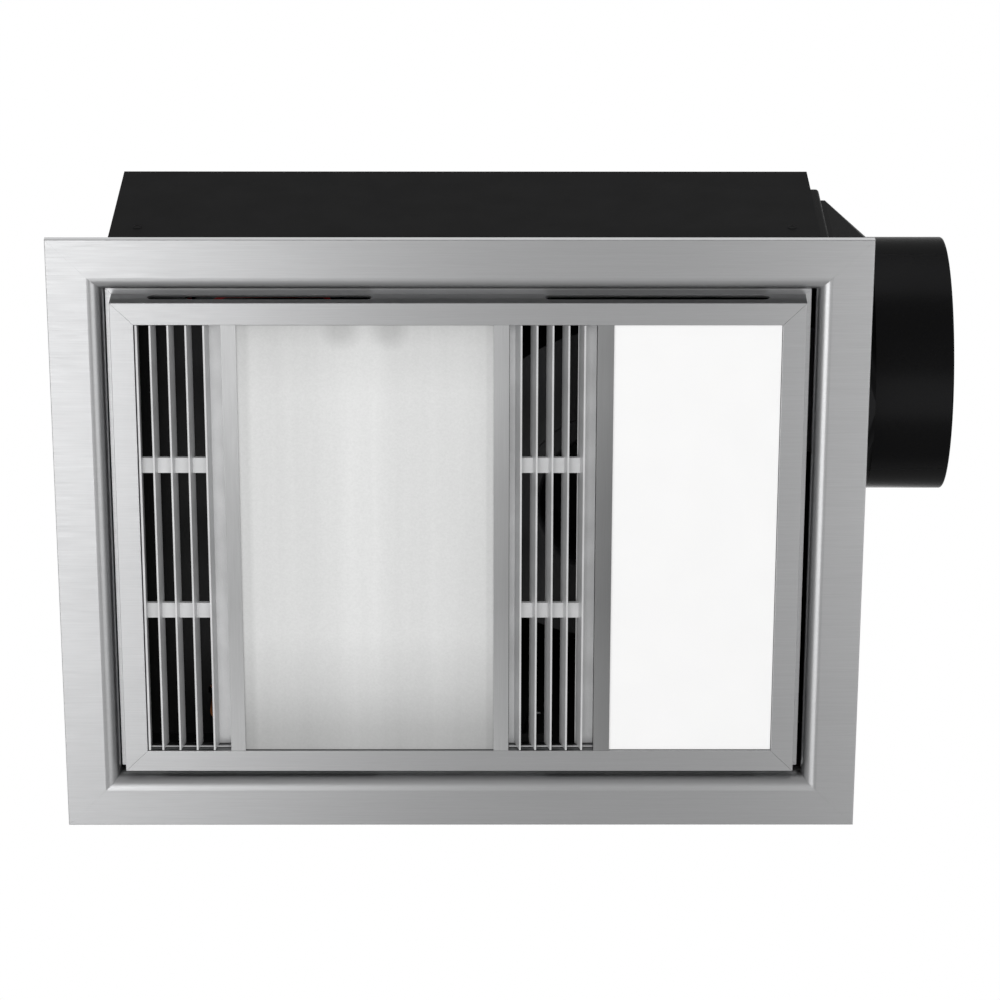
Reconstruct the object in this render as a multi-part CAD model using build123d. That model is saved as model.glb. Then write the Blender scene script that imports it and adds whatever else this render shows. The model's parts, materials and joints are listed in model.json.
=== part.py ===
from build123d import *
import math
import os

# A ceiling heater, exhaust fan and light for a bathroom, in millimetres.
# The origin is the centre of the trim frame on the ceiling's underside, with +Z up into the ceiling.
# "Near" is the -Y side, "far" the +Y side, and the duct leaves on the +X side.

# Trim frame, the fixed border under the ceiling, with a clear gap round the drop panel
trim_side_gap = 5.1
trim_end_gap = 5.8
trim_drop = 4.0
trim_sheet = 0.9
trim_flat = 23.0
trim_roll = 8.5
trim_return_top = 12.0
trim_edge_round = 0.6
trim_mitre_gap = 0.03

# Drop panel, the frame that carries grilles, heater glass and light
panel_width = 396.8
panel_depth = 296.4
panel_shift = -0.9
panel_proud = 2.4
rail_face = 13.4
rail_wall = 1.2
rail_outer_height = 15.3
rail_inner_height = 11.9
rail_flange = 3.4
rail_flange_sheet = 1.0
rail_edge_round = 0.35
panel_mitre_gap = 0.12
slot_length = 128.0
slot_height = 6.7
slot_from_face = 6.4
slot_centre = 113.5

# Bays across the panel opening, from left to right, with a strip between each two
grille_left_bay = 49.6
strip_left_width = 8.5
glass_bay = 147.2
strip_middle_width = 8.8
grille_right_bay = 50.5
strip_right_width = 9.3
strip_set_back = 0.3
strip_sheet = 1.2
strip_height = 10.6
bay_clearance = 0.3

# Grilles
grille_set_back = 0.4
grille_depth = 11.0
blade_thickness = 1.0
blade_lean_left = 2.2
blade_lean_right = 3.2
blade_pitch_left = 10.2
blade_pitch_right = 9.1
blade_count_left = 4
blade_count_right = 5
blade_start_left = 8.6
blade_start_right = 7.4
bar_width = 9.4
bar_thickness = 2.4
bar_set_back = 6.0
bar_spacing = 92.0
grille_wall = 1.2
end_tie_set_back = 4.4
end_tie_height = 1.0
end_tie_thickness = 0.6

# Heater glass and light
glass_thickness = 4.0
glass_lap = 3.5
diffuser_thickness = 2.0
pan_height = 16.9
pan_sheet = 0.8
board_thickness = 1.6
board_margin = 8.0
chip_size = 3.0
chip_height = 0.8
chip_columns = 3
chip_rows = 8
clip_width = 14.0
clip_sheet = 1.0
clip_reach = 8.0
clip_height = 5.0
clip_offset = 90.0

# Panel springs, V legs that hang the panel and pull it up
spring_offset_x = 30.0
spring_wire = 1.8
spring_base_half = 5.0
spring_top_half = 12.0
spring_hook = 7.0
spring_bend = 2.4
panel_travel = 40.0
saddle_length = 4.0
saddle_height = 3.2
saddle_clearance = 0.1
bracket_sheet = 1.2
bracket_gap_above_panel = 0.3
bracket_rise = 6.1
bracket_half_length = 22.0
bracket_slot_width = 3.4
bracket_tab_height = 16.0

# Housing, a folded sheet steel box above the ceiling
body_past_trim_left = 3.1
body_past_trim_right = 8.0
body_past_trim_end = 4.2
body_above_motor = 8.9
body_sheet = 0.9
body_bend = 1.5
joist_flange = 17.8
joist_spacing_x = 360.0
joist_hole_out = 8.8
joist_hole_radius = 2.75
end_plate_lift = 2.0
end_tab_length = 22.0
end_tab_bottom = 78.0
end_tab_below_top = 6.1
end_top_tab_inset = 17.3
rivet_from_end = 16.0
rivet_height = 96.0
rivet_top_offset = 100.0
rivet_radius = 1.5
rivet_head_radius = 2.6
rivet_head_height = 1.0
rivet_head_round = 0.7
rivet_clearance = 0.1

# Duct outlet: seat, adaptor and back-draught flaps
duct_z = 99.0
duct_radius = 75.0
duct_wall = 2.0
duct_rim_round = 1.5
collar_length = 45.5
hood_length = 20.8
hood_shoulder = 3.0
hood_side_angle = 6.0
adaptor_flange = 3.5
adaptor_corner = 8.0
adaptor_inner_corner = 30.0
adaptor_border = 4.0
seat_border = 5.0
seat_edge_margin = 3.2
seat_corner = 7.0
seat_edge_round = 2.0
seat_depth = 5.7
seat_step = 1.2
seat_bore_over_duct = 0.6
seat_lip = 4.1
flap_edge_gap = 0.8
flap_sheet = 1.4
flap_seat_gap = 0.3
flap_middle_gap = 0.4
flap_pin_radius = 1.5
flap_pin_offset = 3.6
flap_pin_seat = 2.4
knuckle_radius = 2.6
knuckle_length = 22.0
knuckle_inner_start = 11.0
knuckle_outer_start = 39.6
knuckle_clearance = 0.06
knuckle_notch_gap = 0.6
spring_coil_radius = 2.5
spring_coil_wire = 0.7
spring_coil_pitch = 1.6
spring_coil_turns = 6
adaptor_screw_inset = 8.0
adaptor_screw_radius = 2.0
adaptor_screw_bite = 3.0
screw_head_radius = 3.6
screw_head_height = 2.4
screw_clearance = 0.15

# Fan: scroll casing, motor and impeller on a vertical axis
fan_x = 92.0
fan_from_duct = 72.0
outlet_width = 76.0
outlet_height = 88.0
outlet_margin = 2.0
outlet_flange = 10.0
scroll_sheet = 1.2
scroll_step = 12.0
inlet_radius = 45.0
inlet_ring_flange = 13.0
inlet_ring_rise = 11.4
inlet_ring_bend = 3.0
impeller_radius = 59.5
impeller_eye_radius = 50.0
impeller_plate = 2.0
impeller_gap_top = 5.0
impeller_gap_bottom = 5.0
blade_count = 36
impeller_blade = 1.0
impeller_blade_slant = 5.0
impeller_blade_bow = 1.8
impeller_blade_inset = 0.5
hub_radius = 10.0
hub_height = 16.0
shaft_radius = 3.0
shaft_press = 0.02
bearing_clearance = 0.05
nut_radius = 6.0
nut_height = 4.0
motor_radius = 38.0
motor_height = 36.0
motor_flange_radius = 54.0
motor_flange = 2.0
motor_boss_radius = 12.0
motor_boss_height = 4.0
motor_shaft_depth = 34.0
mount_circle = 48.0
mount_turn = 30.0
mount_count = 3
mount_radius = 5.5
mount_height = 6.0
motor_screw_radius = 2.0
standoff_circle = 66.0
standoff_turn = 90.0
standoff_count = 3
standoff_radius = 4.0

# Heater: reflector, lamps and their brackets
reflector_bottom = 12.0
reflector_top = 46.0
reflector_side_inset = 3.6
reflector_half_top = 36.0
reflector_end_inset = 4.8
reflector_sheet = 0.6
reflector_lip = 6.0
lamp_spacing = 28.0
lamp_height = 30.0
lamp_tube_radius = 5.0
lamp_tube_wall = 1.0
lamp_cap_radius = 6.5
lamp_cap_length = 12.0
holder_length = 12.0
holder_width = 16.0
holder_height = 14.0
filament_radius = 0.8
lamp_bracket_sheet = 1.2
lamp_bracket_foot = 12.0
lamp_bracket_half = 42.0
lamp_bracket_bottom = 14.0
cutout_radius = 8.0
cutout_height = 8.0
cutout_y = 40.0

# Electrics on a shelf above the heater
shelf_height = 64.0
shelf_sheet = 1.0
shelf_upturn = 10.0
partition_gap = 2.8
gland_from_wall = 87.3
gland_z = 100.0
gland_bore_radius = 4.5
gland_thread_radius = 9.8
gland_flange_radius = 14.0
gland_nose_radius = 11.0
gland_flange = 3.0
gland_nose = 11.0
gland_inside = 10.0
gland_hole_clearance = 0.2
gland_nut_height = 4.0
gland_nut_radius = 13.5
terminal_length = 44.0
terminal_width = 24.0
terminal_height = 20.0
terminal_ways = 4
terminal_screw_radius = 3.0
terminal_screw_depth = 6.0
cover_wall = 1.5
cover_gap = 4.5
cover_height = 28.0
terminal_from_end = 35.7
driver_from_terminal = 52.5
driver_y = -50.0
driver_length = 120.0
driver_width = 45.0
driver_height = 30.0
capacitor_from_partition = 45.0
capacitor_y = -40.0
capacitor_length = 50.0
capacitor_width = 34.0
capacitor_height = 28.0
box_round = 2.0
lead_radius = 1.3
motor_lead_radius = 2.0
lead_hole_radius = 4.0
lead_above_shelf = 5.0
lead_bend = 9.0
lead_end_bend = 5.0
lead_run_height = 26.0
lead_run_gap = 9.8
lead_drop_inset = 2.0
lead_turn_length = 22.0
lead_entry_offset = 20.8
red_drop_gap = 27.8
red_bend_back = 38.0
brown_drop_gap = 19.8
brown_bend_back = 15.0
motor_lead_above_shelf = 15.0
motor_lead_rise_start = 60.0
motor_lead_rise_end = 26.0
motor_lead_past_partition = 40.0
motor_lead_side = 36.0
motor_lead_slope = 3.0
motor_lead_bend = 14.0
motor_lead_wide_bend = 20.0
motor_lead_angle = 30.0

# How far a cutting shape runs past the face that it cuts
past = 1.0

# Corner keys that join the mitred rails, and the trim's leaf clips
key_thickness = 1.8
key_clearance = 0.2
key_arm = 30.0
trim_key_width = 12.0
trim_key_inset = 1.6
trim_clip_x = 110.0
trim_clip_width = 16.0
trim_clip_sheet = 0.5
trim_clip_lift = 0.5
trim_clip_over = 1.0

# Levels and places that follow from the sizes above
trim_width = panel_width + 2 * (trim_side_gap + trim_roll + trim_flat)
trim_depth = panel_depth + 2 * (trim_end_gap + trim_roll + trim_flat)
body_left = panel_width / 2 + trim_side_gap + body_past_trim_left
body_right = panel_width / 2 + trim_side_gap + body_past_trim_right
body_half_depth = panel_depth / 2 + trim_end_gap + body_past_trim_end
face_z = -(trim_drop + panel_proud)
strip_face_z = face_z + strip_set_back
glass_front_z = strip_face_z + strip_sheet
grille_front_z = face_z + grille_set_back
panel_left = panel_shift - panel_width / 2
panel_right = panel_shift + panel_width / 2
opening_left = panel_left + rail_face
opening_right = panel_right - rail_face
opening_half_depth = panel_depth / 2 - rail_face
strip_left_x = opening_left + grille_left_bay
glass_left = strip_left_x + strip_left_width
strip_middle_x = glass_left + glass_bay
grille_right_x = strip_middle_x + strip_middle_width
strip_right_x = grille_right_x + grille_right_bay
light_left = strip_right_x + strip_right_width
glass_centre = (glass_left + strip_middle_x) / 2
reflector_half_bottom = glass_bay / 2 - reflector_side_inset
reflector_half_length = opening_half_depth - reflector_end_inset
inner_half_depth = body_half_depth - body_sheet
inner_left = -body_left + body_sheet
inner_right = body_right - body_sheet
flange_top_z = face_z + rail_outer_height + rail_flange_sheet
channel_width = rail_face - 2 * rail_wall
channel_floor_z = face_z + rail_wall
adaptor_square = 2 * (duct_radius + hood_shoulder)
seat_square = adaptor_square + 2 * seat_border
seat_bore_radius = duct_radius - duct_wall + seat_bore_over_duct
seat_lip_radius = seat_bore_radius - seat_lip
seat_front = body_right + seat_depth
hood_start = seat_front + adaptor_flange
hood_end = hood_start + hood_length
duct_end = hood_end + collar_length
duct_y = -(body_half_depth - seat_edge_margin - seat_square / 2)
fan_y = duct_y + fan_from_duct
flap_radius = seat_bore_radius - flap_edge_gap
flap_back = body_right + seat_step + flap_seat_gap
flap_axis_x = body_right + flap_pin_offset
scroll_bottom_z = duct_z - outlet_height / 2
scroll_top_z = duct_z + outlet_height / 2
impeller_top_z = scroll_top_z - impeller_gap_top
impeller_bottom_z = scroll_bottom_z + impeller_gap_bottom
hub_bottom_z = impeller_top_z - hub_height
motor_base_z = scroll_top_z + scroll_sheet + mount_height
shaft_top_z = motor_base_z + motor_shaft_depth
motor_top_z = motor_base_z + motor_flange + motor_height + motor_boss_height
body_height = motor_top_z + body_above_motor + body_sheet
inner_top = body_height - body_sheet
scroll_widest = fan_from_duct + (outlet_width - scroll_step) / 2
scroll_left = fan_x - scroll_step / 2 - (scroll_widest - scroll_step) - scroll_sheet
partition_x = scroll_left - partition_gap
shelf_top = shelf_height + shelf_sheet
gland_y = inner_half_depth - gland_from_wall
terminal_x = inner_left + terminal_from_end
driver_x = terminal_x + driver_from_terminal
capacitor_x = partition_x - capacitor_from_partition


def block(x0, x1, y0, y1, z0, z1):
    """A box between two corners, in either order."""
    centre = ((x0 + x1) / 2, (y0 + y1) / 2, (z0 + z1) / 2)
    return Pos(*centre) * Box(abs(x1 - x0), abs(y1 - y0), abs(z1 - z0))


def rod(start, end, radius):
    """A round bar between two points."""
    line = Vector(*end) - Vector(*start)
    plane = Plane(origin=start, z_dir=line.normalized())
    return extrude(plane * Circle(radius), amount=line.length)


def tube(start, end, outer, inner):
    """A round bar with a round bore."""
    return rod(start, end, outer) - rod(start, end, inner)


def rounded(points, rounds=()):
    """A flat outline of straight sides, with some corners rounded."""
    face = Sketch() + make_face(Polyline(*points, close=True))
    for (a, b), radius in rounds:
        corner = [v for v in face.vertices() if math.hypot(v.X - a, v.Y - b) < 1e-4]
        face = fillet(corner, radius)
    return face


def save(name, *shapes):
    """Writes one node, with each of its separate pieces as a solid."""
    solids = [solid for shape in shapes for solid in shape.solids()]
    export_step(Compound(solids), f"parts/{name}.step")


def mitred_rails(width, depth, centre_x, profile, z0, z1, reach, mitre_gap):
    """Four rails round an opening: the profile runs inwards from the outer edge, with mitred ends."""
    rails = {}
    gap = mitre_gap / math.sqrt(2)
    for side, inward in (("near", (0, 1)), ("far", (0, -1)), ("left", (1, 0)), ("right", (-1, 0))):
        along = (inward[1], -inward[0])
        length = width if inward[0] == 0 else depth
        corner_x = centre_x - (inward[0] * width + along[0] * width) / 2
        corner_y = -(inward[1] * depth + along[1] * depth) / 2
        start = (corner_x - along[0] * reach, corner_y - along[1] * reach, 0)
        section = Plane(origin=start, x_dir=(*inward, 0), z_dir=(*along, 0))
        bar = extrude(section * profile, amount=length + 2 * reach)
        plan = Plane(origin=(corner_x, corner_y, z0), x_dir=(*along, 0), z_dir=(0, 0, 1))
        mitre = Polyline(
            (-reach + gap, -reach),
            (length + reach - gap, -reach),
            (length - depth / 4 - gap, depth / 4),
            (depth / 4 + gap, depth / 4),
            close=True,
        )
        rails[side] = bar & extrude(plan * make_face(mitre), amount=z1 - z0)
    return rails


def corner_keys(width, depth, centre_x, inset, key_width, z0, z1):
    """Four L-shaped plates behind the corners of a mitred frame."""
    keys = []
    for sx in (-1, 1):
        for sy in (-1, 1):
            x = centre_x + sx * (width / 2 - inset)
            y = sy * (depth / 2 - inset)
            arm_x = block(x, x - sx * key_arm, y, y - sy * key_width, z0, z1)
            arm_y = block(x, x - sx * key_width, y, y - sy * key_arm, z0, z1)
            keys.append(arm_x + arm_y)
    return keys


def trim_frame():
    """The fixed border: a flat, rolled back round its inner edge."""
    inner = trim_flat + trim_roll
    profile = rounded(
        [
            (0, 0),
            (0, -trim_drop),
            (inner, -trim_drop),
            (inner, trim_return_top),
            (inner - trim_sheet, trim_return_top),
            (inner - trim_sheet, trim_sheet - trim_drop),
            (trim_sheet, trim_sheet - trim_drop),
            (trim_sheet, 0),
        ],
        [
            ((0, -trim_drop), trim_edge_round),
            ((inner, -trim_drop), trim_roll),
            ((inner - trim_sheet, trim_sheet - trim_drop), trim_roll - trim_sheet),
        ],
    )
    rails = mitred_rails(
        trim_width, trim_depth, 0, profile, -trim_drop, trim_return_top, 0, trim_mitre_gap
    )
    for side, rail in rails.items():
        save(f"trim_rail_{side}", rail)
    key_z = trim_sheet - trim_drop
    key_top = key_z + key_thickness
    keys = corner_keys(trim_width, trim_depth, 0, trim_key_inset, trim_key_width, key_z, key_top)
    save("trim_corner_keys", *keys)


def trim_clips():
    """Leaf clips hooked over the trim's return, which press on the housing's near and far walls."""
    back = trim_depth / 2 - trim_flat - trim_roll + trim_sheet
    top = trim_return_top + trim_clip_over
    bottom = trim_roll - trim_drop + trim_clip_lift
    middle = (bottom + top) / 2
    leaf = make_face(
        Polyline(
            (back, bottom),
            (back, top),
            (back + 2 * trim_clip_sheet, top),
            (inner_half_depth, middle + trim_clip_sheet),
            (inner_half_depth, middle - trim_clip_sheet),
            (inner_half_depth - trim_clip_sheet, middle - trim_clip_sheet),
            (back + trim_clip_sheet, top - 2 * trim_clip_sheet),
            (back + trim_clip_sheet, bottom),
            close=True,
        )
    )
    clips = []
    for sx in (-1, 1):
        for sy in (-1, 1):
            origin = (sx * trim_clip_x - trim_clip_width / 2, 0, 0)
            if sy < 0:
                origin = (sx * trim_clip_x + trim_clip_width / 2, 0, 0)
            plane = Plane(origin=origin, x_dir=(0, sy, 0), z_dir=(sy, 0, 0))
            clips.append(extrude(plane * leaf, amount=trim_clip_width))
    save("trim_clips", *clips)


def panel_frame():
    """The drop panel's four mitred rails, slotted in the near and far ones, and their corner keys."""
    outer_top = face_z + rail_outer_height
    inner_top_z = face_z + rail_inner_height
    profile = rounded(
        [
            (-rail_flange, outer_top),
            (0, outer_top),
            (0, face_z),
            (rail_face, face_z),
            (rail_face, inner_top_z),
            (rail_face - rail_wall, inner_top_z),
            (rail_face - rail_wall, channel_floor_z),
            (rail_wall, channel_floor_z),
            (rail_wall, flange_top_z),
            (-rail_flange, flange_top_z),
        ],
        [((0, face_z), rail_edge_round), ((rail_face, face_z), rail_edge_round)],
    )
    rails = mitred_rails(
        panel_width, panel_depth, panel_shift, profile, face_z, flange_top_z, rail_flange, panel_mitre_gap
    )
    slot_z = face_z + slot_from_face + slot_height / 2
    for side, sy in (("near", -1), ("far", 1)):
        for sx in (-1, 1):
            outline = SlotOverall(slot_length, slot_height)
            outside = sy * (panel_depth / 2 + rail_wall)
            plane = Plane(
                origin=(panel_shift + sx * slot_centre, outside, slot_z), x_dir=(1, 0, 0), z_dir=(0, -sy, 0)
            )
            rails[side] = rails[side] - extrude(plane * outline, amount=3 * rail_wall)
    for side, rail in rails.items():
        save(f"panel_rail_{side}", rail)
    inset = rail_wall + key_clearance
    keys = corner_keys(
        panel_width,
        panel_depth,
        panel_shift,
        inset,
        channel_width - 2 * key_clearance,
        channel_floor_z,
        channel_floor_z + key_thickness,
    )
    save("panel_corner_keys", *keys)


def strip(x, width, wall_side):
    """One divider between two bays: a face plate with a wall behind one edge."""
    half = opening_half_depth
    plate = block(x, x + width, -half, half, strip_face_z, strip_face_z + strip_sheet)
    edge = x if wall_side < 0 else x + width - strip_sheet
    wall = block(edge, edge + strip_sheet, -half, half, strip_face_z, strip_face_z + strip_height)
    return plate + wall


def divider_strips():
    """The three dividers, each with its wall on the grille side."""
    save(
        "divider_strips",
        strip(strip_left_x, strip_left_width, -1),
        strip(strip_middle_x, strip_middle_width, 1),
        strip(strip_right_x, strip_right_width, -1),
    )


def blade(front, lean, half):
    """One slanted blade: front is the low edge of its front side in X."""
    back_z = grille_front_z + grille_depth
    outline = Polyline(
        (front, grille_front_z),
        (front + blade_thickness, grille_front_z),
        (front + blade_thickness + lean, back_z),
        (front + lean, back_z),
        close=True,
    )
    plane = Plane(origin=(0, half, 0), x_dir=(1, 0, 0), z_dir=(0, -1, 0))
    return extrude(plane * make_face(outline), amount=2 * half)


def bar_end(front, lean):
    """The middle of a blade in X at the height of the cross bars."""
    share = (bar_set_back + bar_thickness / 2) / grille_depth
    return front + blade_thickness / 2 + lean * share


def grille(x0, x1, fronts, lean, walls, bars, bands):
    """A grille of slanted blades on two cross bars, end ties and floor bands."""
    half = opening_half_depth - bay_clearance
    bar_z = grille_front_z + bar_set_back
    tie_z = grille_front_z + end_tie_set_back
    tie_y = half - end_tie_thickness
    back_z = grille_front_z + grille_depth
    pieces = [blade(front, lean, half) for front in fronts]
    for y in (-bar_spacing / 2, bar_spacing / 2):
        low = y - bar_width / 2
        pieces.append(block(bars[0], bars[1], low, low + bar_width, bar_z, bar_z + bar_thickness))
    for sy in (-1, 1):
        pieces.append(block(x0, x1, sy * half, sy * tie_y, tie_z, tie_z + end_tie_height))
    for wall_x in walls:
        pieces.append(block(wall_x, wall_x + grille_wall, -half, half, grille_front_z, back_z))
    for band_x0, band_x1 in bands:
        pieces.append(block(band_x0, band_x1, -half, half, back_z - blade_thickness, back_z))
    body = pieces[0]
    for piece in pieces[1:]:
        body = body + piece
    return body


def grilles():
    """The two air grilles, whose blades lean towards the heater glass as they go back."""
    x0 = opening_left + bay_clearance
    x1 = strip_left_x - bay_clearance
    fronts = [opening_left + blade_start_left + i * blade_pitch_left for i in range(blade_count_left)]
    last_back = fronts[-1] + blade_lean_left
    wall_x = x0 + bay_clearance
    bars = (wall_x, bar_end(fronts[-1], blade_lean_left))
    band = (last_back, x1)
    save("grille_left", grille(x0, x1, fronts, blade_lean_left, [wall_x], bars, [band]))
    x0 = grille_right_x + bay_clearance
    x1 = strip_right_x - bay_clearance
    fronts = [
        grille_right_x + blade_start_right - blade_thickness + i * blade_pitch_right
        for i in range(blade_count_right)
    ]
    first_back = fronts[0] - blade_lean_right + blade_thickness
    last_front = fronts[-1]
    bars = (bar_end(fronts[0], -blade_lean_right), bar_end(last_front, -blade_lean_right))
    bands = [(x0, first_back), (last_front, x1)]
    body = grille(x0, x1, fronts, -blade_lean_right, [], bars, bands)
    link_half = opening_half_depth - bay_clearance
    back_z = grille_front_z + grille_depth
    link_x = last_front - blade_lean_right
    link_low = back_z - blade_thickness
    link = block(link_x, last_front + blade_thickness, -link_half, link_half, link_low, back_z)
    save("grille_right", body + link)


def heater_glass():
    """The frosted pane in front of the lamps, and the clips that hold it from behind."""
    x0 = glass_left - glass_lap
    x1 = strip_middle_x + glass_lap
    half = opening_half_depth - bay_clearance
    back_z = glass_front_z + glass_thickness
    save("heater_glass", block(x0, x1, -half, half, glass_front_z, back_z))
    clips = []
    left_wall = strip_left_x + strip_sheet
    right_wall = strip_middle_x + strip_middle_width - strip_sheet
    for y in (-clip_offset, clip_offset):
        for wall, way in ((left_wall, 1), (right_wall, -1)):
            y0 = y - clip_width / 2
            y1 = y + clip_width / 2
            post = block(wall, wall + way * clip_sheet, y0, y1, back_z, back_z + clip_height)
            foot = block(wall, wall + way * (clip_reach + clip_sheet), y0, y1, back_z, back_z + clip_sheet)
            clips.append(post + foot)
    save("glass_clips", *clips)


def light():
    """The light: diffuser, back pan, board and its rows of diodes."""
    x0 = light_left - glass_lap
    x1 = opening_right - bay_clearance
    half = opening_half_depth - bay_clearance
    back_z = glass_front_z + diffuser_thickness
    top_z = back_z + pan_height
    save("light_diffuser", block(x0, x1, -half, half, glass_front_z, back_z))
    outer = block(x0, x1, -half, half, back_z, top_z)
    inner = block(
        x0 + pan_sheet, x1 - pan_sheet, -half + pan_sheet, half - pan_sheet, back_z, top_z - pan_sheet
    )
    save("light_back_pan", outer - inner)
    board_top = top_z - pan_sheet
    board_bottom = board_top - board_thickness
    board_x0 = x0 + board_margin
    board_x1 = x1 - board_margin
    board_half = half - board_margin
    board = block(board_x0, board_x1, -board_half, board_half, board_bottom, board_top)
    chips = []
    for i in range(chip_columns):
        for j in range(chip_rows):
            x = board_x0 + (board_x1 - board_x0) * (i + 0.5) / chip_columns
            y = -board_half + 2 * board_half * (j + 0.5) / chip_rows
            size = chip_size / 2
            chip_low = board_bottom - chip_height
            chips.append(block(x - size, x + size, y - size, y + size, chip_low, board_bottom))
    save("light_board", board, *chips)


def spring_places():
    """Centres of the four panel springs, in the channels of the near and far rails."""
    y = panel_depth / 2 - rail_face / 2
    return [(panel_shift + sx * spring_offset_x, sy * y, sy) for sy in (-1, 1) for sx in (-1, 1)]


def panel_springs():
    """V-shaped wire legs held in saddles on the panel, whose hooks stop in the housing's brackets."""
    wire = spring_wire / 2
    base_z = channel_floor_z + wire
    bracket_z = flange_top_z + bracket_gap_above_panel + bracket_rise
    hook_z = bracket_z + bracket_sheet + panel_travel + spring_wire
    outer = spring_top_half + spring_hook
    springs = []
    saddles = []
    for x, y, sy in spring_places():
        path = FilletPolyline(
            (x - outer, y, hook_z),
            (x - spring_top_half, y, hook_z),
            (x - spring_base_half, y, base_z),
            (x + spring_base_half, y, base_z),
            (x + spring_top_half, y, hook_z),
            (x + outer, y, hook_z),
            radius=spring_bend,
        )
        section = Plane(origin=path @ 0, z_dir=path % 0) * Circle(wire)
        springs.append(sweep(section, path=path))
        half = saddle_length / 2
        side = channel_width / 2 - key_clearance
        saddle = block(
            x - half, x + half, y - side, y + side, channel_floor_z, channel_floor_z + saddle_height
        )
        groove = wire + saddle_clearance
        cut = rod((x - saddle_length, y, base_z), (x + saddle_length, y, base_z), groove)
        cut_low = channel_floor_z - past
        slot = block(x - saddle_length, x + saddle_length, y - groove, y + groove, base_z, cut_low)
        saddles.append(saddle - cut - slot)
    save("panel_springs", *springs)
    save("spring_saddles", *saddles)


def spring_brackets():
    """Slotted brackets on the housing's walls, which guide the springs and stop the panel going up."""
    z0 = flange_top_z + bracket_gap_above_panel + bracket_rise
    z1 = z0 + bracket_sheet
    reach = panel_depth / 2 - rail_face
    lip_y = panel_depth / 2 + rail_flange - bracket_sheet
    brackets = []
    for x, y, sy in spring_places():
        x0 = x - bracket_half_length
        x1 = x + bracket_half_length
        shelf = block(x0, x1, sy * inner_half_depth, sy * reach, z0, z1)
        tab_inner = sy * (inner_half_depth - bracket_sheet)
        tab = block(x0, x1, sy * inner_half_depth, tab_inner, z0, z1 + bracket_tab_height)
        lip = block(x0, x1, sy * lip_y, sy * (lip_y + bracket_sheet), z0 - bracket_rise, z0)
        slot_half = spring_top_half + spring_wire
        slot_side = bracket_slot_width / 2
        slot = block(x - slot_half, x + slot_half, y - slot_side, y + slot_side, z0 - past, z1 + past)
        brackets.append(shelf + tab + lip - slot)
    save("spring_brackets", *brackets)


def side_rivets():
    """Places of the rivets in the near and far walls, as x and side."""
    return [(x, sy) for x in (-body_left + rivet_from_end, body_right - rivet_from_end) for sy in (-1, 1)]


def top_rivets():
    """Places of the rivets in the top, as x and y."""
    return [
        (x, y)
        for x in (-body_left + rivet_from_end, body_right - rivet_from_end)
        for y in (-rivet_top_offset, rivet_top_offset)
    ]


def rivet_holes():
    """Bars that cut every rivet hole through the housing's sheets."""
    radius = rivet_radius + rivet_clearance
    deep = 3 * body_sheet
    holes = []
    for x, sy in side_rivets():
        start = (x, sy * (body_half_depth - deep), rivet_height)
        holes.append(rod(start, (x, sy * (body_half_depth + deep), rivet_height), radius))
    for x, y in top_rivets():
        holes.append(rod((x, y, body_height - deep), (x, y, body_height + deep), radius))
    return holes


def housing_shell():
    """The folded near wall, top and far wall, with the flanges that screw up to the ceiling joists."""
    outer = body_half_depth
    inner = inner_half_depth
    edge = outer + joist_flange
    bend = body_bend
    tight = body_bend - body_sheet
    profile = rounded(
        [
            (-edge, -body_sheet),
            (-inner, -body_sheet),
            (-inner, inner_top),
            (inner, inner_top),
            (inner, -body_sheet),
            (edge, -body_sheet),
            (edge, 0),
            (outer, 0),
            (outer, body_height),
            (-outer, body_height),
            (-outer, 0),
            (-edge, 0),
        ],
        [
            ((-inner, -body_sheet), bend),
            ((inner, -body_sheet), bend),
            ((outer, 0), tight),
            ((outer, body_height), bend),
            ((-outer, body_height), bend),
            ((-outer, 0), tight),
        ],
    )
    plane = Plane(origin=(-body_left, 0, 0), x_dir=(0, 1, 0), z_dir=(1, 0, 0))
    shell = extrude(plane * profile, amount=body_left + body_right)
    for hole in rivet_holes():
        shell = shell - hole
    for sx in (-1, 1):
        for sy in (-1, 1):
            x = sx * joist_spacing_x / 2
            y = sy * (body_half_depth + joist_hole_out)
            shell = shell - rod((x, y, -2 * body_sheet), (x, y, body_sheet), joist_hole_radius)
    save("housing_shell", shell)


def end_plate(x_outer, way):
    """An end of the housing, with tabs along the near, far and top sheets; way points into the housing."""
    x_inner = x_outer + way * body_sheet
    x_tab = x_inner + way * end_tab_length
    plate = block(x_outer, x_inner, -inner_half_depth, inner_half_depth, end_plate_lift, inner_top)
    for sy in (-1, 1):
        wall = sy * inner_half_depth
        tab_top = inner_top - end_tab_below_top
        tab = block(x_inner, x_tab, wall, wall - sy * body_sheet, end_tab_bottom, tab_top)
        plate = plate + tab
    half = inner_half_depth - end_top_tab_inset
    plate = plate + block(x_inner, x_tab, -half, half, inner_top - body_sheet, inner_top)
    for hole in rivet_holes():
        plate = plate - hole
    return plate


def end_plates():
    """Left end with the cable gland's hole, right end with the fan's outlet and the screw holes."""
    left = end_plate(-body_left, 1)
    gland_hole = gland_thread_radius + gland_hole_clearance
    left = left - rod(
        (-body_left - past, gland_y, gland_z), (inner_left + past, gland_y, gland_z), gland_hole
    )
    save("left_end_plate", left)
    right = end_plate(body_right, -1)
    half_y = outlet_width / 2 + outlet_margin
    half_z = outlet_height / 2 + outlet_margin
    x0 = inner_right - past
    x1 = body_right + past
    right = right - block(x0, x1, duct_y - half_y, duct_y + half_y, duct_z - half_z, duct_z + half_z)
    for y, z in adaptor_screw_places():
        right = right - rod((x0, y, z), (x1, y, z), adaptor_screw_radius + screw_clearance)
    save("right_end_plate", right)


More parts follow.
